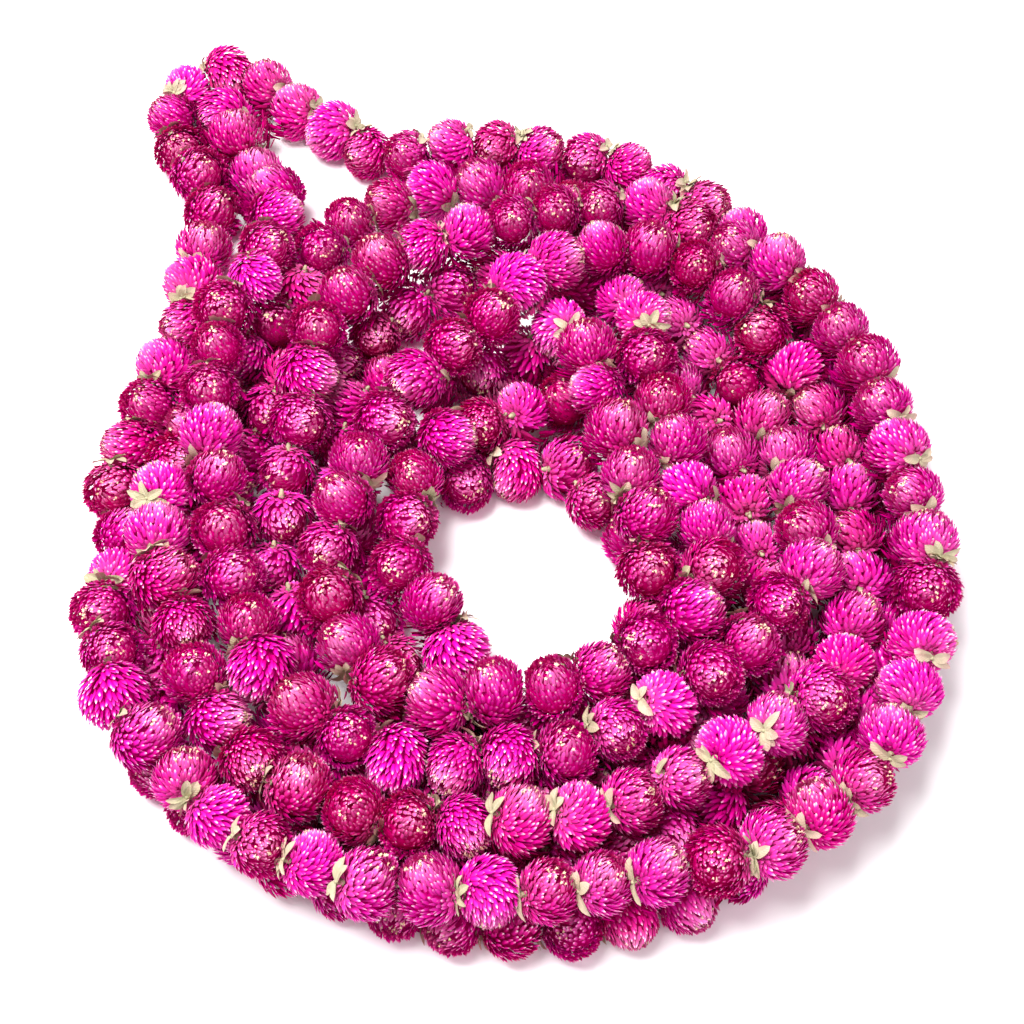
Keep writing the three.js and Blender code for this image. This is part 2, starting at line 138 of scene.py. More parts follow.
RIM_TURN = [
    (2232, 100, 10), (2237, 83, 14), (2244, 72, 18), (2258, 64, 21), (2280, 57, 23), (2310, 52, 27),
    (2340, 44, 29), (2370, 38, 27), (2400, 45, 16), (2430, 64, 10), (2460, 67, 10), (2490, 62, 13),
    (2520, 55, 27), (2550, 56, 33), (2580, 70, 30), (2589, 92, 32), (2596, 104, 24),
]
INNER_TURN = [
    (2605, 108, 13), (2616, 93, 10), (2628, 94, 10), (2640, 102, 10), (2655, 97, 10), (2670, 76, 10),
    (2700, 64, 10), (2715, 61, 10), (2730, 55, 10), (2745, 59, 10), (2760, 68, 10), (2775, 74, 10),
    (2790, 88, 10), (2820, 94, 10), (2850, 83, 10), (2880, 61, 10), (2895, 55, 10), (2910, 48, 10),
    (2925, 50, 10), (2940, 53, 10), (2955, 53, 10), (2970, 48, 10), (2992, 50, 10), (3005, 71, 10),
    (3012, 76, 10),
]

# Seeds of the strand's draws and of the fine pieces' draws
SEED = 2611
BLOOM_SEED = 97

# Bracts of a head that is seen and of one under others. Rows are places along a bract, and the profile is
# the share of its half width there.
BRACTS = 480
UNDER_BRACTS = 320
BRACT_ROWS = np.array([0.5, 0.82])
BRACT_PROFILE = np.array([0.92, 0.9])
BRACT_HALF_WIDTH = 0.76
KEEL = 0.5

# Length and tilt of the bracts at places from the head's tip, 0, to its base, 1, and their crowding there
BASEWARD_PLACES = (0, 0.35, 0.7, 1)
BRACT_LENGTHS = (4.2, 6.0, 8.4, 9.6)
BRACT_TILTS = (46, 60, 75, 81)
CROWDING = 1.45

# Share of the breadth of a bract at the head's tip, and what it gains on the way to the base
TIP_BREADTH = 0.85
BASEWARD_BREADTH = 0.7

# Course of a bract: the share of the head's radius at which it sweeps over the globe, its longest sweep as
# a share of the way to the base, its least one, how deep its root lies, and its first slope
COURSE_RADIUS = 0.9
LONGEST_SWEEP = 0.85
LEAST_SWEEP = 0.05
ROOT_SHARE = 0.8
ROOT_DEPTH = 0.7
FIRST_SLOPE = 0.45

# How much bracts differ in place, tilt in degrees, sideways curl, roll in radians, reach and colour, and
# the ranges of their breadths and of their reach where a neighbour is near
PLACE_SCATTER = 0.03
TILT_SCATTER = 5
CURL_SCATTER = 0.35
ROLL_SCATTER = 0.25
TIP_SCATTER = 0.02
TIP_SCATTER_ENDS = (-0.04, 0.05)
CRIMSON_SCATTER = 0.12
BREADTHS = (0.88, 1.12)
LIMITS = (0.96, 1.02)

# How far a head stands out across the strand and swells into the gaps beside it, first for a head whose
# centre lies low and then for one that lies higher
LOW_HEIGHT = 18
BROAD_SHARES = (1.15, 1.09)
SWELL_SHARES = (1.6, 1.4)
SWELL_RISES = (0.3, -0.3)

# No bract ends within one angle of the stalk, or within the other of a neighbour on the thread
STALK_ANGLE = 6
PRESSED = math.cos(math.radians(14))

# Tones, from 0 at a bract's dark root to 1 at its pale tip: what its ridge gains, the share left in the
# gaps as painted shade, the power that paints shade on heads under others, and the core's tone, a painted
# shade
RIDGE_TONE = 0.03
SHADED_TONE = 0.45
UNDER_SHADE_POWER = 1.5
CORE_TONE = 0.32

# Core under the bracts, as a share of the head's radius and of the way to a neighbour
CORE_SHARE = 0.8
CORE_LIMIT = 0.97

# Reach in radians of the pale patches at a head's tip and base, and how much rarer dried tips, partly
# painted highlight, are at the base
TIP_PALE_REACH = 0.5
BASE_PALE_REACH = 0.7
DRY_GLINT_LOSS = 0.4

# How a flower sits on the thread: the chance that its base points onward, the lean of its base and the
# angle from base to tip in degrees, and what pulls its tip to the open side and to any side
ONWARD_CHANCE = 0.25
BASE_LEANS = (12, 50)
TIP_ANGLES = (82, 165)
OPEN_PULLS = (0.2, 1.3)
RANDOM_PULL = 0.6

# A flower's own colours: crimson of a deep flower and of a pink one, and the strength of its pale patches
DEEP_CRIMSONS = (0.55, 0.95)
PINK_CRIMSONS = (0.0, 0.42)
TIP_PALES = (0.2, 0.85)
BASE_PALES = (0.0, 0.5)

# A floret's shape: its lobes, radius and height of their tips and of the notches between them, its cup,
# its tube, and the height over which its colour runs
LOBES = 5
LOBE_TIP = (1.0, 0.35)
LOBE_NOTCH = (0.42, 0.05)
CUP_DEPTH = 0.15
TUBE_RADIUS = 0.3
TUBE_LENGTH = 2.2
COLOUR_RUN = 2.6

# Florets on a head: number, sizes, reach and scatter. A ring of them round its tip or a patch over it has a
# nearest angle from the tip and a spread beyond that, in radians.
FLORETS = (7, 14)
FLORET_SIZES = (0.45, 0.78)
FLORET_REACHES = (0.95, 1.01)
FLORET_SCATTER = 0.05
FLORET_LEAN = 0.25
RINGED_CHANCE = 0.5
FLORET_RING = (0.16, 0.26)
FLORET_PATCH = (0.0, 0.36)
OUTWARD_POWER = 0.6

# A leaf bract's length, its lift off the head and arch, and the powers that make its outline ovate
LEAF_LENGTH = 7.8
LEAF_LIFT = 1.02
LEAF_ARCH = 0.5
LEAF_ROWS = 7
LEAF_COLUMNS = 5
LEAF_BASE_WIDTH = 0.22
LEAF_LEAD = 0.85
LEAF_FULLNESS = 2.3
LEAF_ROUNDING = 0.62

# How leaf bracts differ: share of the length, half width, curl and fold; how their edges ruffle, and the
# angle from the flower's base under which one is aimed so close that it is shorter
LEAF_LENGTHS = (0.65, 1.08)
LEAF_HALF_WIDTHS = (1.4, 2.2)
LEAF_CURLS = (0.8, 3.0)
LEAF_FOLDS = (0.05, 0.4)
RUFFLE = 0.14
RUFFLE_ALONG = 7
RUFFLE_ACROSS = 2
CLOSE_AIM = 0.2

# Leaf bracts at a waist: turns of the middle one and the two beside it in radians, the chance that one of
# those two is missing, slopes from the thread in degrees, and the size towards the flower's other end
LEAF_TURNS = ((-0.2, 0.2), (0.5, 0.9), (-0.9, -0.5))
MISSING_CHANCE = 0.55
LEAF_SLOPES = (50, 78)
OTHER_END_SIZE = 0.8

# Stalk stub at a head's base: rings from its root to its end, as a share of the head's radius and a radius,
# and the tones of its sides and end
STALK_RINGS = ((0.8, 1.4), (0.95, 1.0), (1.04, 0.75), (1.08, 0.45))
STALK_SIDES = 6
STALK_TONES = (0.5, 0.1, 0.3)
STALK_END_TONES = (0.3, 0.5, 0.0, 0.1)

# Colours from a bract's root to its tip, on a pink flower and on a crimson one. The dark root is painted
# shade where the bracts overlap, and the paler tip is partly painted highlight.
PINK_STOPS = (
    (0.0, (0.12, 0.0, 0.025)), (0.35, (0.55, 0.0, 0.19)), (0.7, (0.83, 0.004, 0.38)),
    (0.92, (0.84, 0.02, 0.44)), (1.0, (0.89, 0.20, 0.57)),
)
CRIMSON_STOPS = (
    (0.0, (0.09, 0.0, 0.01)), (0.35, (0.44, 0.0, 0.10)), (0.7, (0.76, 0.0, 0.24)),
    (0.92, (0.80, 0.008, 0.30)), (1.0, (0.88, 0.14, 0.42)),
)

# Shade of a bract from its ridge to its edges, then as a whole with what chance and mottling add, and gloss
# from its root to its tip
EDGE_STOPS = ((0.0, 1), (0.45, 0.9), (1.0, 0.5))
BRACT_SHADE = 0.82
BRACT_SHADE_SPREAD = 0.3
BRACT_MOTTLE = 0.16
GLOSS_STOPS = ((0.6, 0), (0.85, 0.03), (1.0, 0.3))

# Dried tip of a bract, partly painted highlight: where it starts, how much later at the edges, on which
# bracts, and its colour; and the colour of a head's pale patches
DRY_GLINT_TIP_STOPS = ((0.81, 0), (0.93, 1))
DRY_GLINT_POINT = 0.12
DRY_GLINT_CHANCE_STOPS = ((0.35, 0), (0.7, 1))
DRY_GLINT_COLOUR = (0.96, 0.58, 0.76)
PALE_STRENGTH = 0.6
PALE_COLOUR = (0.96, 0.38, 0.66)

# Florets, from the foot of the tube to the lobes, and the blush that some have
FLORET_STOPS = ((0.0, (0.55, 0.10, 0.24)), (0.75, (0.88, 0.62, 0.34)), (1.0, (0.92, 0.80, 0.50)))
FLORET_BLUSH = 0.5
FLORET_BLUSH_COLOUR = (0.95, 0.72, 0.66)

# Leaf bracts: from the greenest to the palest, their midrib, the blush towards the tip, mottling and veins
LEAF_GREEN = (0.36, 0.36, 0.19)
LEAF_STRAW = (0.58, 0.49, 0.34)
MIDRIB_STOPS = ((0.0, 1), (0.16, 0.25), (1.0, 0))
MIDRIB_COLOUR = (0.60, 0.54, 0.38)
LEAF_BLUSH = 0.55
LEAF_BLUSH_POWER = 2.2
LEAF_BLUSH_COLOUR = (0.80, 0.34, 0.42)
LEAF_SHADE = 0.72
LEAF_MOTTLE = 0.5
VEINS_ALONG = 46.0
VEINS_ACROSS = -9.0
VEIN_HEIGHT = 0.22

# Thread and floor
COTTON_STOPS = ((0.3, (0.62, 0.56, 0.42)), (0.7, (0.86, 0.82, 0.70)))
FLOOR_STOPS = ((0.0, 0.93), (1.0, 0.95))

# Sockets of a colour mix node
MIX_INPUTS = (0, 6, 7)
MIX_OUTPUT = 2

# Camera, aimed at the origin of the route's coordinates: distance, elevation and lens
CAMERA_DISTANCE = 620
CAMERA_ELEVATION = 62
CAMERA_LENS = 54.5
CLIP_START = 0.01
SENSOR = 36

# Studio in metres and watts: half a side of the floor, the sky, and each light's place, size and power
FLOOR_REACH = 3
SKY_STRENGTH = 0.42
KEY_LIGHT = ((-0.35, 0.1, 1.1), 0.6, 28)
FILL_LIGHT = ((0.7, -0.7, 0.9), 0.9, 6)

WORD = 0xFFFFFFFF
UP = np.array([0.0, 0.0, 1.0])
GOLDEN_TURN = math.pi * (3 - math.sqrt(5))

# An upright direction has no level direction of its own across it, so it is nudged a little off upright
UPRIGHT = 0.999
BRACT_NUDGE = np.array([0.01, 0, 0])
FLORET_NUDGE = np.array([0.003, 0.002, 0])
STALK_NUDGE = np.array([0.002, 0.003, 0])

# Limits that keep a divisor away from zero
POLE_GUARD = 1.001
LEAST_FACING = 0.05
LEAST_PULL = 0.1
LEAST_CROSS = 1e-6


def seeded_draw(seed):
    """Even numbers between 0 and 1 from a 32-bit seed, the same on every run."""
    state = seed

    def draw():
        nonlocal state
        state = (state + 0x6D2B79F5) & WORD
        bits = ((state ^ (state >> 15)) * (1 | state)) & WORD
        bits = ((bits + (bits ^ (bits >> 7)) * (61 | bits)) & WORD) ^ bits
        return (bits ^ (bits >> 14)) / (WORD + 1)

    return draw


def unit(vector):
    return vector / np.linalg.norm(vector)


def units(vectors):
    """Each row of an array at length 1."""
    return vectors / np.linalg.norm(vectors, axis=-1, keepdims=True)


def angle_to(directions, pole):
    return np.arccos(np.clip(directions @ pole, -1, 1))


def turned(start, end, angle):
    """The direction that lies at an angle from one direction, on the side of another."""
    return start * math.cos(angle) + unit(end - (end @ start) * start) * math.sin(angle)


def polar_point(bearing, radius, height):
    angle = math.radians(bearing)
    return (HOLE[0] + radius * math.cos(angle), HOLE[1] + radius * math.sin(angle), height)


def route_points():
    points = list(LOOP_INNER_LEG)
    for turn in (THIRD_TURN, SECOND_TURN, FIFTH_TURN, UNDER_TURN):
        points += [polar_point(*row) for row in turn]
    points += LOOP_OUTER_LEG
    for turn in (FIRST_TURN, FOURTH_TURN, RIM_TURN, INNER_TURN):
        points += [polar_point(*row) for row in turn]
    return [np.array(point, float) for point in points]


def smooth_line(points):
    """Uniform Catmull-Rom spline through the points, in short straight steps."""
    ends = [2 * points[0] - points[1], *points, 2 * points[-1] - points[-2]]
    line = []
    for p, q, r, s in zip(ends, ends[1:], ends[2:], ends[3:]):
        bend = 2 * p - 5 * q + 4 * r - s
        twist = 3 * q - p - 3 * r + s
        for step in range(SPAN_STEPS):
            t = step / SPAN_STEPS
            line.append(0.5 * (2 * q + (r - p) * t + bend * t * t + twist * t * t * t))
    line.append(points[-1])
    return line


def strung_heads():
    """Centres and radii of the heads strung along the line, each a little off it to one side."""
    draw = seeded_draw(SEED)
    line = smooth_line(route_points())
    centres, radii = [], []
    walked = due = 0.0
    radius = HEAD_RADIUS * (1 + RADIUS_SPREAD * (2 * draw() - 1))
    for start, end in zip(line, line[1:]):
        length = float(np.linalg.norm(end - start))
        while walked + length >= due:
            centre = start + (end - start) * ((due - walked) / length)
            centres.append([float(value) + SIDE_SHIFT * (2 * draw() - 1) for value in centre])
            radii.append(radius)
            following = HEAD_RADIUS * (1 + RADIUS_SPREAD * (2 * draw() - 1))
            due += SPACING_SHARE * (radius + following)
            radius = following
        walked += length
    return centres, radii


def spread(one, other, wanted):
    """Moves two centres along the line between them until they are at the wanted distance."""
    x, y, z = other[0] - one[0], other[1] - one[1], other[2] - one[2]
    far = math.sqrt(x * x + y * y + z * z)
    share = 0.5 * (wanted - far) / far
    for axis, gap in enumerate((x, y, z)):
        one[axis] -= gap * share
        other[axis] += gap * share


def settle(centres, radii):
    """Heads push apart, neighbours keep their spacing, and none sinks into the surface."""
    homes = [list(centre) for centre in centres]
    count = len(centres)
    near = [
        (centres[i], centres[j], radii[i] + radii[j] + CLEAR_AIR)
        for i in range(count) for j in range(i + 2, count)
        if math.dist(centres[i], centres[j]) < NEAR_REACH
    ]
    for turn in range(SETTLE_ROUNDS):
        hold = HOLD_SHARE if turn < SETTLE_ROUNDS - FREE_ROUNDS else 0
        for centre, home in zip(centres, homes):
            for axis in range(3):
                centre[axis] += (home[axis] - centre[axis]) * hold
        for i in range(1, count):
            spread(centres[i - 1], centres[i], SPACING_SHARE * (radii[i - 1] + radii[i]))
        for one, other, wanted in near:
            x, y, z = other[0] - one[0], other[1] - one[1], other[2] - one[2]
            if x * x + y * y + z * z < wanted * wanted:
                spread(one, other, wanted)
        for centre, radius in zip(centres, radii):
            centre[2] = max(centre[2], radius - FLAT_DEPTH)


class Axes:
    """Direction of the strand with two directions across it, the first one level."""

    def __init__(self, direction):
        self.along = unit(direction)
        self.side = unit(np.array([-self.along[1], self.along[0], 0.0]))
        self.across = np.cross(self.along, self.side)

    def outward(self, angle):
        return self.side * math.cos(angle) + self.across * math.sin(angle)


class Head:
    """One flower head: its place on the strand here, and its flower once give_flowers has run."""

    def __init__(self, centre, radius, direction, draw):
        self.centre = centre
        self.radius = radius
        self.axes = Axes(direction)
        # The first of a head's two draws turns its solid on the thread, which only the part's source needs
        draw()
        self.deep = draw() < DEEP_SHARE
        self.seen = False


class Waist:
    """The place between two neighbours on the thread, with the directions of its leaf bracts."""

    def __init__(self, one, other):
        self.middle = (one.centre + other.centre) / 2
        self.axes = Axes(other.centre - one.centre)
        self.leaves = []


def lies_open(centres, centre, radius, direction):
    """Whether a straight look from a centre meets no other head."""
    way = centres - centre
    ahead = way @ direction
    aside = np.sqrt(np.maximum(0, (way * way).sum(axis=1) - ahead * ahead))
    return bool(np.all((ahead < radius) | (aside > radius)))


def mark_seen(heads, centres):
    """A head is seen where it lies open to enough sides; its opening is the direction it lies open to."""
    rise = math.radians(LOOK_ELEVATION)
    looks = []
    for k in range(LOOK_DIRECTIONS):
        turn = 2 * math.pi * k / LOOK_DIRECTIONS
        level = np.array([math.cos(turn), math.sin(turn), 0.0])
        looks.append(level * math.cos(rise) + UP * math.sin(rise))
    for head in heads:
        open_looks = [look for look in looks if lies_open(centres, head.centre, head.radius, look)]
        head.seen = len(open_looks) >= OPEN_LOOKS
        head.opening = unit(sum(open_looks, UP * UPWARD_PULL))


def leaf_reaches(waist, angle, centres, radii, keep):
    """Whether a leaf bract at this angle round the thread ends clear of other heads and the surface."""
    tip = waist.middle + waist.axes.outward(angle) * LEAF_REACH + waist.axes.along * LEAF_LEAN
    clear = np.all((np.linalg.norm(centres - tip, axis=1) > radii + LEAF_AIR)[keep])
    open_out = lies_open(centres, waist.middle, HEAD_RADIUS, waist.axes.outward(angle))
    return clear and tip[2] > LEAF_AIR and open_out


def place_leaves(waists, heads, centres, radii):
    """Directions of the leaf bracts at each waist, turned so that they reach clear of other heads."""
    step = 2 * math.pi / WAIST_SIDES
    for i, waist in enumerate(waists):
        if not (heads[i].seen and heads[i + 1].seen):
            continue
        keep = np.ones(len(heads), bool)
        keep[i:i + 2] = False
        for k in range(WAIST_TURNS):
            angles = [step * k / WAIST_TURNS + step * (side + 0.5) for side in range(WAIST_SIDES)]
            free = [a for a in angles if leaf_reaches(waist, a, centres, radii, keep)]
            if len(free[:LEAVES_PER_WAIST]) > len(waist.leaves):
                waist.leaves = free[:LEAVES_PER_WAIST]


def make_strand():
    """Heads and waists in order along the thread."""
    centre_lists, radius_list = strung_heads()
    settle(centre_lists, radius_list)
    centres, radii = np.array(centre_lists), np.array(radius_list)
    last = len(centres) - 1
    draw = seeded_draw(SEED + 1)
    heads = [
        Head(centres[i], radii[i], centres[min(last, i + 1)] - centres[max(0, i - 1)], draw)
        for i in range(last + 1)
    ]
    mark_seen(heads, centres)
    waists = [Waist(one, other) for one, other in zip(heads, heads[1:])]
    place_leaves(waists, heads, centres, radii)
    return heads, waists


def runs_of(heads):
    """Cuts the strand into runs: a run ends when it is full or has turned far enough."""
    runs = []
    first = 0
    for i in range(1, len(heads) + 1):
        start = heads[first]
        at_rim = math.hypot(start.centre[0] - HOLE[0], start.centre[1] - HOLE[1]) < RIM_REACH
        longest = LONGEST_RIM_RUN if at_rim else LONGEST_RUN
        cosine = start.axes.along @ heads[i].axes.along if i < len(heads) else 1
        if i == len(heads) or i - first >= longest or cosine < math.cos(math.radians(RUN_TURN)):
            runs.append(range(first, i))
            first = i
    return runs


class Growth:
    """Points and faces of one piece as it grows, with each point's tone for the materials."""

    def __init__(self):
        self.points = []
        self.faces = []
        self.tones = []
        self.sides = []
        self.count = 0

    def add(self, points, faces, tones, sides=None):
        raised = np.maximum(points, (-np.inf, -np.inf, FLOOR_AIR))
        self.points.append(raised)
        self.faces.append(faces + self.count)
        self.tones.append(tones)
        self.sides.append(np.zeros(len(points)) if sides is None else sides)
        self.count += len(points)

    def piece(self, name, material, slot):
        points = (np.concatenate(self.points) - [*MIDDLE, 0]) * MM
        mesh = bpy.data.meshes.new(name)
        mesh.from_pydata(points.tolist(), [], np.concatenate(self.faces).tolist())
        tone = mesh.attributes.new("tone", "FLOAT_COLOR", "POINT")
        tone.data.foreach_set("color", np.concatenate(self.tones).astype(np.float32).ravel())
        side = mesh.attributes.new("side", "FLOAT", "POINT")
        side.data.foreach_set("value", np.concatenate(self.sides).astype(np.float32))
        mesh.polygons.foreach_set("use_smooth", [True] * len(mesh.polygons))
        mesh.materials.append(material)
        made = bpy.data.objects.new(name, mesh)
        bpy.context.scene.collection.objects.link(made)
        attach(made, "root")
        return made


def strip_faces(rows, columns):
    """Triangles of a grid of rows and columns, closed to one tip point after the last row."""
    faces = []
    for row in range(rows - 1):
        for column in range(columns - 1):
            a = row * columns + column
            faces += [(a, a + 1, a + columns + 1), (a, a + columns + 1, a + columns)]
    last = (rows - 1) * columns
    faces += [(last + c, last + c + 1, rows * columns) for c in range(columns - 1)]
    return np.array(faces)


def copies(faces, points_each, count):
    """The same faces once for each of several copies whose points follow each other."""
    first_points = points_each * np.arange(count)[:, None, None]
    return (faces[None, :, :] + first_points).reshape(-1, faces.shape[1])


def sphere_lattice(count, pole):
    """Directions over a sphere on a spiral that starts at the pole, where they crowd most."""
    axes = Axes(pole if abs(pole[2]) < UPRIGHT else pole + BRACT_NUDGE)
    height = 1 - 2 * ((np.arange(count) + 0.5) / count) ** CROWDING
    ring = np.sqrt(1 - height * height)
    turn = GOLDEN_TURN * np.arange(count)
    return (height[:, None] * axes.along + (ring * np.cos(turn))[:, None] * axes.side
            + (ring * np.sin(turn))[:, None] * axes.across)


def flow(directions, base, tip):
    """Direction on the sphere along which a bract points, out of the flower's base and into its tip."""
    to_tip, to_base = (
        (pole - (directions @ pole)[:, None] * directions) / (POLE_GUARD - directions @ pole)[:, None]
        for pole in (tip, base)
    )
    return units(to_tip - to_base)


def meet_neighbours(heads, waists, centres):
    """Directions and distances of the planes where each head meets the surface and other heads."""
    for index, head in enumerate(heads):
        head.planes = [(-UP, head.centre[2] - FLOOR_AIR)]
        for waist in waists[max(0, index - 1):index + 1]:
            gap = waist.middle - head.centre
            head.planes.append((unit(gap), float(np.linalg.norm(gap))))
        head.strung = [normal for normal, _ in head.planes[1:]]
        gaps = centres - head.centre
        far = np.linalg.norm(gaps, axis=1)
        for other in np.flatnonzero(far < CONTACT_REACH):
            if abs(int(other) - index) > 1:
                head.planes.append((gaps[other] / far[other], far[other] / 2 + TIP_OVERLAP))


def reach_limits(planes, directions):
    """How far a head may stand out in each direction before it meets one of the planes."""
    limit = np.full(len(directions), np.inf)
    for normal, distance in planes:
        facing = directions @ normal
        met = distance / np.maximum(facing, LEAST_FACING)
        limit = np.where(facing > LEAST_FACING, np.minimum(limit, met), limit)
    return limit


def stand_out(head, directions, broad_share):
    """Radius of a head in each direction, broader across the strand than along it."""
    return head.radius * (broad_share - (broad_share - 1) * (directions @ head.axes.along) ** 2)


def bract_reaches(head, directions, rng):
    """Tips stand widest across the strand, and low down they reach out for the flowers of the next laps."""
    high = int(head.centre[2] >= LOW_HEIGHT)
    scatter = rng.normal(0, TIP_SCATTER, len(directions)).clip(*TIP_SCATTER_ENDS)
    reach = stand_out(head, directions, BROAD_SHARES[high]) * (1 + scatter)
    beside = reach_limits(head.planes[1 + len(head.strung):], directions)
    swells = (beside < SWELL_SHARES[high] * head.radius) & (directions[:, 2] < SWELL_RISES[high])
    reach = np.where(swells, np.maximum(reach, beside), reach)
    limit = reach_limits(head.planes, directions) * rng.uniform(*LIMITS, len(directions))
    return np.minimum(reach, limit), swells


def bract_directions(head, rng):
    """Where on the globe bracts end: all over it but for the stalk and the parts pressed on neighbours."""
    count = BRACTS if head.seen else UNDER_BRACTS
    directions = units(sphere_lattice(count, head.tip_pole) + rng.normal(0, PLACE_SCATTER, (count, 3)))
    kept = angle_to(directions, head.base_pole) > math.radians(STALK_ANGLE)
    for normal in head.strung:
        kept &= directions @ normal < PRESSED
    return directions[kept]


class Bracts:
    """All bracts of one head, as arrays with a row for each bract."""

    def __init__(self, head, rng):
        self.head = head
        self.scale = head.radius / HEAD_RADIUS
        self.directions = bract_directions(head, rng)
        self.count = len(self.directions)
        self.from_tip = angle_to(self.directions, head.tip_pole)
        self.from_base = angle_to(self.directions, head.base_pole)
        self.baseward = self.from_tip / (self.from_tip + self.from_base)

    def ridges(self, rng):
        """Points of each ridge from its first row to its tip, and the directions sideways and outward."""
        head = self.head
        length = np.interp(self.baseward, BASEWARD_PLACES, BRACT_LENGTHS) * self.scale
        tilt = np.interp(self.baseward, BASEWARD_PLACES, BRACT_TILTS)
        tilt = np.radians(tilt + rng.normal(0, TILT_SCATTER, self.count))
        reach, self.swells = bract_reaches(head, self.directions, rng)
        sweep = length * np.sin(tilt) / (COURSE_RADIUS * head.radius)
        sweep = np.minimum(sweep, LONGEST_SWEEP * self.from_base)[:, None]
        root = reach - length * np.cos(tilt) * ROOT_SHARE - ROOT_DEPTH
        rise = (reach - root)[:, None]

        places = np.append(BRACT_ROWS, 1.0)
        height = root[:, None] + rise * (FIRST_SLOPE * places + (1 - FIRST_SLOPE) * places ** 2)
        climb = rise * (FIRST_SLOPE + 2 * (1 - FIRST_SLOPE) * places)
        run = height * np.maximum(sweep, LEAST_SWEEP)
        back = (sweep * (1 - places))[..., None]
        upright = self.directions[:, None, :]
        along = flow(self.directions, head.base_pole, head.tip_pole)[:, None, :]
        sideways = np.cross(upright, along)
        radial = np.cos(back) * upright - np.sin(back) * along
        level = np.sin(back) * upright + np.cos(back) * along
        outer = units(run[..., None] * radial - climb[..., None] * level)
        curl = rng.normal(0, CURL_SCATTER, self.count)[:, None] * places ** 2
        ridge = head.centre + height[..., None] * radial + curl[..., None] * sideways
        return ridge, sideways, outer

    def points(self, rng):
        """Left edge, ridge and right edge at each row of each bract, and then its tip."""
        ridge, sideways, outer = self.ridges(rng)
        roll = rng.normal(0, ROLL_SCATTER, self.count)[:, None, None]
        across = np.cos(roll) * sideways + np.sin(roll) * outer
        lift = np.cos(roll) * outer - np.sin(roll) * sideways
        breadth = rng.uniform(*BREADTHS, self.count) * BRACT_HALF_WIDTH * self.scale
        breadth = breadth * (TIP_BREADTH + BASEWARD_BREADTH * self.baseward)
        width = (breadth[:, None] * BRACT_PROFILE[None, :])[..., None]
        body = ridge[:, :-1]
        fall = lift[:, :-1] * width * KEEL
        left = body - across[:, :-1] * width - fall
        right = body + across[:, :-1] * width - fall
        edges = np.stack([left, body, right], axis=2).reshape(self.count, -1, 3)
        return np.concatenate([edges, ridge[:, -1:]], axis=1)

    def tones(self, rng):
        """Of each point, its place along its bract, and how pale and crimson that bract is and how likely
        its dried tip is, which is partly painted highlight.
        """
        head = self.head
        tone = np.zeros((self.count, len(BRACT_ROWS) * 3 + 1, 4))
        tone[:, :-1, 0] = np.repeat(BRACT_ROWS, 3)
        tone[:, 1:-1:3, 0] += RIDGE_TONE
        tone[:, -1, 0] = 1
        # Bracts that swell into the gaps beside a head get painted shade
        tone[self.swells, :, 0] *= SHADED_TONE
        # Heads under others get painted shade: their tones fall by a power
        if not head.seen:
            tone[:, :, 0] **= UNDER_SHADE_POWER
        tip_pale = head.tip_pale * np.exp(-(self.from_tip / TIP_PALE_REACH) ** 2)
        base_pale = head.base_pale * np.exp(-(self.from_base / BASE_PALE_REACH) ** 2)
        crimson = head.crimson + rng.normal(0, CRIMSON_SCATTER, self.count)
        chance = rng.uniform(0, 1, self.count) * (1 - DRY_GLINT_LOSS * self.baseward)
        for channel, values in enumerate((tip_pale + base_pale, crimson, chance), 1):
            tone[:, :, channel] = np.clip(values, 0, 1)[:, None]
        return tone


def grow_bracts(growth, head, rng):
    """Keeled pointed bracts that rise from the core, lean from the flower's base to its tip and overlap."""
    bracts = Bracts(head, rng)
    points = bracts.points(rng)
    tones = bracts.tones(rng)
    faces = copies(strip_faces(len(BRACT_ROWS), 3), points.shape[1], bracts.count)
    sides = np.tile([*([-1, 0, 1] * len(BRACT_ROWS)), 0], bracts.count)
    growth.add(points.reshape(-1, 3), faces, tones.reshape(-1, 4), sides)


def core_mesh():
    """Points and triangles of a round core of radius 1."""
    shape = bmesh.new()
    bmesh.ops.create_icosphere(shape, subdivisions=2, radius=1)
    shape.verts.ensure_lookup_table()
    points = np.array([vertex.co[:] for vertex in shape.verts])
    faces = np.array([[vertex.index for vertex in face.verts] for face in shape.faces])
    shape.free()
    return points, faces


def grow_core(growth, head, core):
    """Core that closes a head under its bracts, dark with painted shade inside the head."""
    points, faces = core
    reach = np.minimum(head.radius * CORE_SHARE, reach_limits(head.planes, points) * CORE_LIMIT)
    placed = head.centre + points * reach[:, None]
    tones = np.tile([CORE_TONE, 0.0, head.crimson, 0.5], (len(points), 1))
    growth.add(placed, faces, tones)


def floret_shape():
    """Points and triangles of a floret: a cupped star of lobes on a short tube, along +Z."""
    points = [(0, 0, -CUP_DEPTH)]
    turn = 2 * math.pi / LOBES
    for k in range(LOBES):
        for place, (reach, height) in ((k, LOBE_TIP), (k + 0.5, LOBE_NOTCH)):
            points.append((reach * math.cos(turn * place), reach * math.sin(turn * place), height))
    for k in range(LOBES):
        angle = turn * (k + 0.5)
        points.append((TUBE_RADIUS * math.cos(angle), TUBE_RADIUS * math.sin(angle), -TUBE_LENGTH))
    rim = 2 * LOBES
    faces = [(0, 1 + k, 1 + (k + 1) % rim) for k in range(rim)]
    for k in range(LOBES):
        after = (k + 1) % LOBES
        top, next_top = 2 + 2 * k, 2 + 2 * after
        low, next_low = 1 + rim + k, 1 + rim + after
        faces += [(top, low, next_low), (top, next_low, next_top)]
    return np.array(points), np.array(faces)


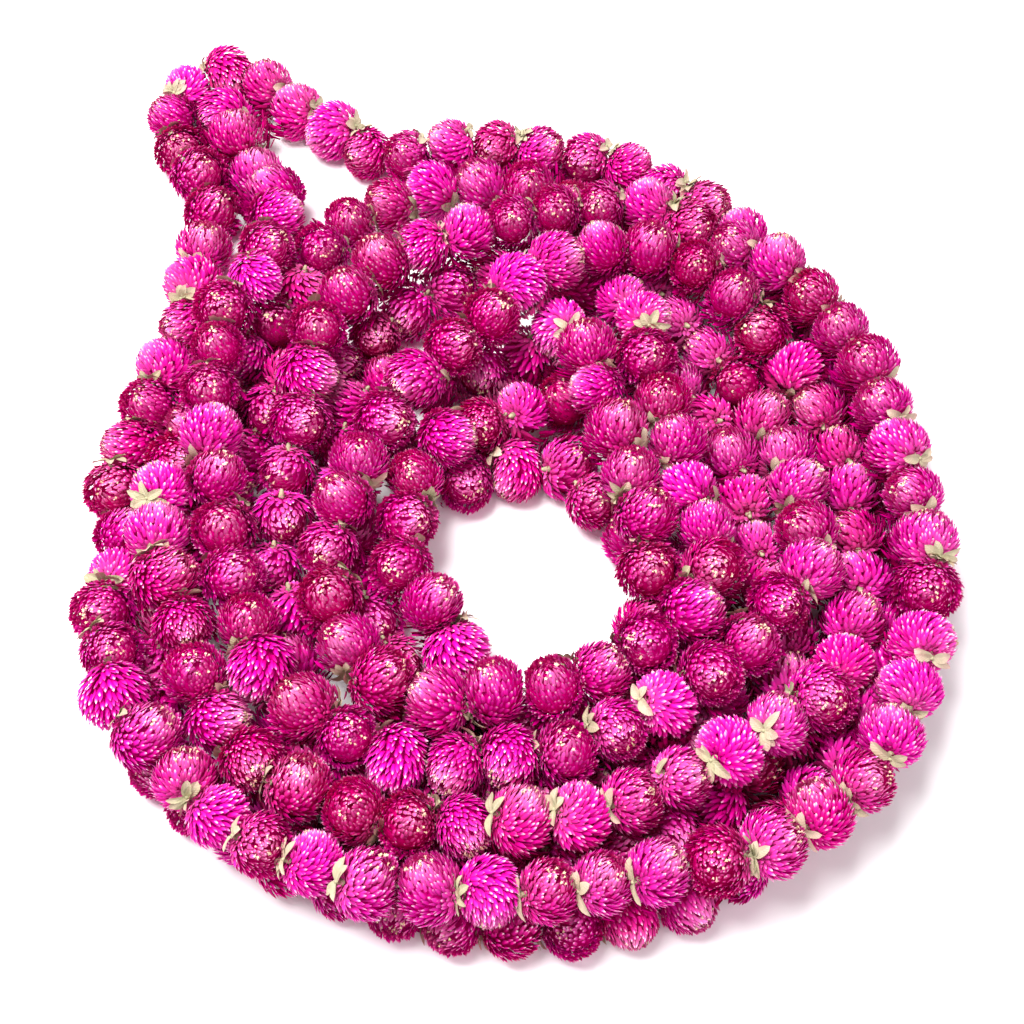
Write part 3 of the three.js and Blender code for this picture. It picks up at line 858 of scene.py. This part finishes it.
def grow_florets(growth, head, shape, rng):
    """Florets that stand out of a head's tip, over it or in a ring round it."""
    points, faces = shape
    count = int(rng.integers(FLORETS[0], FLORETS[1] + 1))
    axes = Axes(head.tip_pole + FLORET_NUDGE)
    spin = rng.uniform(0, 2 * math.pi, count)
    nearest, further = FLORET_RING if head.ringed else FLORET_PATCH
    away = nearest + rng.uniform(0, 1, count) ** OUTWARD_POWER * further
    for turn, angle in zip(spin, away):
        direction = unit(axes.along * math.cos(angle) + axes.outward(turn) * math.sin(angle))
        direction = unit(direction + rng.normal(0, FLORET_SCATTER, 3))
        if any(direction @ normal > PRESSED for normal in head.strung):
            continue
        reach = stand_out(head, direction, BROAD_SHARES[1]) * rng.uniform(*FLORET_REACHES)
        limit = reach_limits(head.planes, direction[None, :])[0]
        lean = Axes(direction + rng.normal(0, FLORET_LEAN, 3))
        size = rng.uniform(*FLORET_SIZES)
        shaped = points @ np.array([lean.side, lean.across, lean.along]) * size
        tones = np.tile([0.0, rng.uniform(), rng.uniform(), 0.0], (len(points), 1))
        tones[:, 0] = (points[:, 2] + TUBE_LENGTH) / COLOUR_RUN
        growth.add(head.centre + direction * min(reach, limit) + shaped, faces, tones)


def leaf_width(place):
    """Share of a leaf bract's width at a place along it, from a narrow base through an ovate blade."""
    ovate = max(0.0, 1 - abs(2 * place ** LEAF_LEAD - 1) ** LEAF_FULLNESS) ** LEAF_ROUNDING
    return max(LEAF_BASE_WIDTH * (1 - place), ovate)


def grow_leaf(growth, head, target, size, rng):
    """A leaf bract that springs from the flower's base and lies over it towards the target direction."""
    sweep = LEAF_LENGTH * size * rng.uniform(*LEAF_LENGTHS) / head.radius
    sweep *= min(1, angle_to(target, head.base_pole) / CLOSE_AIM)
    sideways = unit(np.cross(head.base_pole, target) + LEAST_CROSS)
    curl = rng.uniform(*LEAF_CURLS)
    half_width = size * rng.uniform(*LEAF_HALF_WIDTHS)
    fold = rng.uniform(*LEAF_FOLDS)
    wave = rng.uniform(0, 2 * math.pi)
    points, tones = [], []
    for place in np.linspace(0, 1, LEAF_ROWS + 1):
        direction = turned(head.base_pole, target, place * sweep)
        lift = head.radius * LEAF_LIFT + curl * place ** 2 + LEAF_ARCH * math.sin(math.pi * place)
        middle = head.centre + direction * lift
        width = half_width * leaf_width(place)
        for column in np.linspace(-1, 1, LEAF_COLUMNS) if place < 1 else [0.0]:
            ruffle = RUFFLE * math.sin(wave + RUFFLE_ALONG * place + RUFFLE_ACROSS * column)
            raised = direction * width * abs(column) * (fold + ruffle)
            points.append(middle + sideways * width * column + raised)
            tones.append((place, abs(column), head.leaf_pink, head.leaf_shade))
    growth.add(np.array(points), strip_faces(LEAF_ROWS, LEAF_COLUMNS), np.array(tones))


def grow_stalk(growth, head):
    """Short stub of the flower's own stalk at its base."""
    axes = Axes(head.base_pole + STALK_NUDGE)
    root, end = STALK_RINGS[0][0], STALK_RINGS[-1][0]
    points, tones = [], []
    for reach, radius in STALK_RINGS:
        middle = head.centre + axes.along * head.radius * reach
        for k in range(STALK_SIDES):
            points.append(middle + axes.outward(2 * math.pi * k / STALK_SIDES) * radius)
            tones.append((reach - root, *STALK_TONES))
    points.append(head.centre + axes.along * head.radius * end)
    tones.append(STALK_END_TONES)
    faces = []
    for row in range(len(STALK_RINGS) - 1):
        for k in range(STALK_SIDES):
            a, b = row * STALK_SIDES + k, row * STALK_SIDES + (k + 1) % STALK_SIDES
            faces += [(a, b, b + STALK_SIDES), (a, b + STALK_SIDES, a + STALK_SIDES)]
    last = (len(STALK_RINGS) - 1) * STALK_SIDES
    faces += [(last + k, last + (k + 1) % STALK_SIDES, last + STALK_SIDES) for k in range(STALK_SIDES)]
    growth.add(np.array(points), np.array(faces), np.array(tones))


def give_flowers(heads, waists, rng):
    """Each flower's base and tip directions, and its own colours."""
    for i, head in enumerate(heads):
        before = waists[i - 1] if i > 0 else None
        after = waists[i] if i < len(waists) else None
        onward = before is None or (after is not None and rng.uniform() < ONWARD_CHANCE)
        waist = after if onward else before
        head.base_waist = waist
        toward = unit(waist.middle - head.centre)
        pull = sum((waist.axes.outward(angle) for angle in waist.leaves), np.zeros(3))
        free = pull if np.linalg.norm(pull) > LEAST_PULL else head.opening
        head.base_pole = turned(toward, free, math.radians(rng.uniform(*BASE_LEANS)))
        wish = head.opening * rng.uniform(*OPEN_PULLS) + unit(rng.normal(0, 1, 3)) * RANDOM_PULL
        least, most = np.radians(TIP_ANGLES)
        apart = np.clip(angle_to(unit(wish), head.base_pole), least, most)
        head.tip_pole = turned(head.base_pole, wish, apart)
        head.crimson = rng.uniform(*(DEEP_CRIMSONS if head.deep else PINK_CRIMSONS))
        head.tip_pale = rng.uniform(*TIP_PALES)
        head.base_pale = rng.uniform(*BASE_PALES)
        head.ringed = rng.uniform() < RINGED_CHANCE
        head.leaf_pink = rng.uniform()
        head.leaf_shade = rng.uniform()


def leaf_targets(head, waist, rng):
    """Directions from the head's centre that its leaf bracts lie towards."""
    toward = unit(waist.middle - head.centre)
    targets = []
    for angle in waist.leaves:
        turns = [rng.uniform(*ends) for ends in LEAF_TURNS]
        for place, turn in enumerate(turns):
            if place > 0 and rng.uniform() < MISSING_CHANCE:
                continue
            slope = math.radians(rng.uniform(*LEAF_SLOPES))
            outward = waist.axes.outward(angle + turn)
            targets.append(unit(toward * math.cos(slope) + outward * math.sin(slope)))
    return targets


def grow_leaves(growth, head, before, rng):
    """Leaf bracts towards the waist at a flower's base, and smaller ones towards one at its other end."""
    if before is not None and before is not head.base_waist:
        for target in leaf_targets(head, before, rng):
            grow_leaf(growth, head, target, OTHER_END_SIZE, rng)
    for target in leaf_targets(head, head.base_waist, rng):
        grow_leaf(growth, head, target, 1.0, rng)


def set_input(node, name, value):
    node.inputs[name].default_value = value


def link_or_set(tree, socket, value):
    """Feeds a socket from another node, or with a plain number or colour."""
    if isinstance(value, tuple):
        socket.default_value = (*value, 1)
    elif isinstance(value, (float, int)):
        socket.default_value = value
    else:
        tree.links.new(value, socket)


def colour_ramp(tree, source, stops):
    """Colours along a value. Each stop is a place and a colour, or one number for a grey."""
    ramp = tree.nodes.new("ShaderNodeValToRGB")
    elements = ramp.color_ramp.elements
    while len(elements) < len(stops):
        elements.new(0.5)
    for element, (place, colour) in zip(elements, stops):
        element.position = place
        element.color = (*colour, 1) if isinstance(colour, tuple) else (colour, colour, colour, 1)
    tree.links.new(source, ramp.inputs["Fac"])
    return ramp.outputs["Color"]


def mixed(tree, share, one, other, mode="MIX"):
    node = tree.nodes.new("ShaderNodeMix")
    node.data_type = "RGBA"
    node.blend_type = mode
    for socket, value in zip(MIX_INPUTS, (share, one, other)):
        link_or_set(tree, node.inputs[socket], value)
    return node.outputs[MIX_OUTPUT]


def shaded(tree, colour, shade):
    return mixed(tree, 1.0, colour, shade, "MULTIPLY")


def calculated(tree, operation, one, other=0.0):
    node = tree.nodes.new("ShaderNodeMath")
    node.operation = operation
    link_or_set(tree, node.inputs[0], one)
    link_or_set(tree, node.inputs[1], other)
    return node.outputs[0]


def times(tree, one, other):
    return calculated(tree, "MULTIPLY", one, other)


def plus(tree, one, other):
    return calculated(tree, "ADD", one, other)


def new_material(name, roughness, specular):
    material = bpy.data.materials.new(name)
    material.use_nodes = True
    tree = material.node_tree
    shader = tree.nodes["Principled BSDF"]
    set_input(shader, "Roughness", roughness)
    set_input(shader, "Specular IOR Level", specular)
    return material, tree, shader


def attribute(tree, name):
    node = tree.nodes.new("ShaderNodeAttribute")
    node.attribute_name = name
    return node.outputs


def tone_channels(tree):
    """The four tones that a piece's points have."""
    tone = attribute(tree, "tone")
    parts = tree.nodes.new("ShaderNodeSeparateColor")
    tree.links.new(tone["Color"], parts.inputs["Color"])
    return (*parts.outputs, tone["Alpha"])


def noise(tree, scale, detail=3):
    coordinates = tree.nodes.new("ShaderNodeTexCoord")
    node = tree.nodes.new("ShaderNodeTexNoise")
    set_input(node, "Scale", scale)
    set_input(node, "Detail", detail)
    tree.links.new(coordinates.outputs["Object"], node.inputs["Vector"])
    return node.outputs["Fac"]


def add_bump(tree, shader, height, strength, distance):
    bump = tree.nodes.new("ShaderNodeBump")
    set_input(bump, "Strength", strength)
    set_input(bump, "Distance", distance)
    tree.links.new(height, bump.inputs["Height"])
    tree.links.new(bump.outputs["Normal"], shader.inputs["Normal"])


def bract_material():
    """Papery bracts: hot magenta along the ridge, with painted shade at the root and the edges, and a pale
    tip that is partly dried and partly painted highlight.
    """
    material, tree, shader = new_material("papery_bracts", roughness=0.5, specular=0.4)
    along, pale, crimson, chance = tone_channels(tree)
    off_ridge = calculated(tree, "ABSOLUTE", attribute(tree, "side")["Fac"])
    # The ramps darken each bract's root with painted shade where the bracts overlap
    pink_flower = colour_ramp(tree, along, PINK_STOPS)
    crimson_flower = colour_ramp(tree, along, CRIMSON_STOPS)
    colour = mixed(tree, crimson, pink_flower, crimson_flower)
    colour = shaded(tree, colour, colour_ramp(tree, off_ridge, EDGE_STOPS))
    # Dried tips, partly painted highlight: a pale tip on some bracts, narrower towards the edges
    pointed = calculated(tree, "SUBTRACT", along, times(tree, off_ridge, DRY_GLINT_POINT))
    dry_glint = colour_ramp(tree, pointed, DRY_GLINT_TIP_STOPS)
    dry_glint = times(tree, dry_glint, colour_ramp(tree, chance, DRY_GLINT_CHANCE_STOPS))
    colour = mixed(tree, dry_glint, colour, DRY_GLINT_COLOUR)
    colour = mixed(tree, times(tree, pale, PALE_STRENGTH), colour, PALE_COLOUR)
    shade = plus(tree, times(tree, chance, BRACT_SHADE_SPREAD), BRACT_SHADE)
    mottle = times(tree, noise(tree, scale=260), BRACT_MOTTLE)
    colour = shaded(tree, colour, plus(tree, shade, mottle))
    tree.links.new(colour, shader.inputs["Base Color"])
    tree.links.new(colour_ramp(tree, along, GLOSS_STOPS), shader.inputs["Specular IOR Level"])
    add_bump(tree, shader, noise(tree, scale=1400, detail=4), strength=0.35, distance=0.0002)
    return material


def floret_material():
    """Cream florets with pinker tubes, some of them pinker all over."""
    material, tree, shader = new_material("cream_florets", roughness=0.6, specular=0.3)
    along, chance, _, _ = tone_channels(tree)
    colour = colour_ramp(tree, along, FLORET_STOPS)
    colour = mixed(tree, times(tree, chance, FLORET_BLUSH), colour, FLORET_BLUSH_COLOUR)
    tree.links.new(colour, shader.inputs["Base Color"])
    add_bump(tree, shader, noise(tree, scale=1800), strength=0.3, distance=0.0001)
    return material


def leaf_material():
    """Pale green leaf bracts with a lighter midrib, slanting veins and pink towards the tip."""
    material, tree, shader = new_material("leaf_bracts", roughness=0.68, specular=0.25)
    along, across, pink, shade = tone_channels(tree)
    colour = mixed(tree, shade, LEAF_GREEN, LEAF_STRAW)
    colour = mixed(tree, colour_ramp(tree, across, MIDRIB_STOPS), colour, MIDRIB_COLOUR)
    blush = times(tree, calculated(tree, "POWER", along, LEAF_BLUSH_POWER), pink)
    colour = mixed(tree, times(tree, blush, LEAF_BLUSH), colour, LEAF_BLUSH_COLOUR)
    mottle = plus(tree, times(tree, noise(tree, scale=420), LEAF_MOTTLE), LEAF_SHADE)
    tree.links.new(shaded(tree, colour, mottle), shader.inputs["Base Color"])
    slant = plus(tree, times(tree, along, VEINS_ALONG), times(tree, across, VEINS_ACROSS))
    vein = times(tree, calculated(tree, "SINE", slant), VEIN_HEIGHT)
    add_bump(tree, shader, plus(tree, vein, noise(tree, scale=1500)), strength=0.5, distance=0.00025)
    return material


def thread_material():
    """Twisted natural cotton."""
    material, tree, shader = new_material("cotton_thread", roughness=0.85, specular=0.2)
    strands = colour_ramp(tree, noise(tree, scale=900, detail=5), COTTON_STOPS)
    tree.links.new(strands, shader.inputs["Base Color"])
    add_bump(tree, shader, noise(tree, scale=1200, detail=5), strength=0.6, distance=0.0003)
    return material


def floor_material():
    """Nearly white paper."""
    material, tree, shader = new_material("pale_floor", roughness=0.6, specular=0.2)
    paper = colour_ramp(tree, noise(tree, scale=30), FLOOR_STOPS)
    tree.links.new(paper, shader.inputs["Base Color"])
    return material


def dress_lei():
    """Fine heads in the place of each run's solid, with florets and leaf bracts of their own."""
    heads, waists = make_strand()
    meet_neighbours(heads, waists, np.array([head.centre for head in heads]))
    rng = np.random.default_rng(BLOOM_SEED)
    give_flowers(heads, waists, rng)
    core, floret = core_mesh(), floret_shape()
    materials = bract_material(), floret_material(), leaf_material()
    for number, run in enumerate(runs_of(heads), 1):
        bracts, florets, leaves = Growth(), Growth(), Growth()
        for i in run:
            grow_core(bracts, heads[i], core)
            grow_bracts(bracts, heads[i], rng)
            grow_florets(florets, heads[i], floret, rng)
            grow_stalk(leaves, heads[i])
            grow_leaves(leaves, heads[i], waists[i - 1] if i else None, rng)
        blooms = bracts.piece(f"blooms_{number:02d}", materials[0], "bracts")
        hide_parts(f"heads_{number:02d}")
        florets.piece(f"florets_{number:02d}", materials[1], "florets")
        leaves.piece(f"leaf_bracts_{number:02d}", materials[2], "leaf_bracts")


def dress_thread():
    cotton = thread_material()
    for slot in bpy.data.objects["thread"].material_slots:
        slot.material = cotton


def area_light(name, place, size, watts):
    """A square light that shines on the middle of the lei."""
    data = bpy.data.lights.new(name, "AREA")
    data.size = size
    data.energy = watts
    light = bpy.data.objects.new(name, data)
    light.location = place
    light.rotation_euler = (-Vector(place)).to_track_quat("-Z", "Y").to_euler()
    bpy.context.scene.collection.objects.link(light)


def add_floor():
    mesh = bpy.data.meshes.new("floor")
    corners = [(x * FLOOR_REACH, y * FLOOR_REACH, 0) for x, y in ((-1, -1), (1, -1), (1, 1), (-1, 1))]
    mesh.from_pydata(corners, [], [(0, 1, 2, 3)])
    mesh.materials.append(floor_material())
    floor = bpy.data.objects.new("floor", mesh)
    bpy.context.scene.collection.objects.link(floor)


def add_lights():
    world = bpy.data.worlds.new("studio")
    world.use_nodes = True
    sky = world.node_tree.nodes["Background"]
    set_input(sky, "Color", (1, 1, 1, 1))
    set_input(sky, "Strength", SKY_STRENGTH)
    bpy.context.scene.world = world
    area_light("key", *KEY_LIGHT)
    area_light("fill", *FILL_LIGHT)


def add_camera():
    ground = Vector((*MIDDLE, 0)) * -MM
    rise = math.radians(CAMERA_ELEVATION)
    away = Vector((0, -math.cos(rise), math.sin(rise)))
    data = bpy.data.cameras.new("camera")
    data.lens = CAMERA_LENS
    data.sensor_width = SENSOR
    data.sensor_fit = "HORIZONTAL"
    data.clip_start = CLIP_START
    camera = bpy.data.objects.new("camera", data)
    camera.location = ground + away * CAMERA_DISTANCE * MM
    camera.rotation_euler = (-away).to_track_quat("-Z", "Y").to_euler()
    bpy.context.scene.collection.objects.link(camera)
    bpy.context.scene.camera = camera


bpy.context.scene.view_settings.view_transform = "Standard"
add_camera()
add_floor()
add_lights()
dress_thread()
dress_lei()
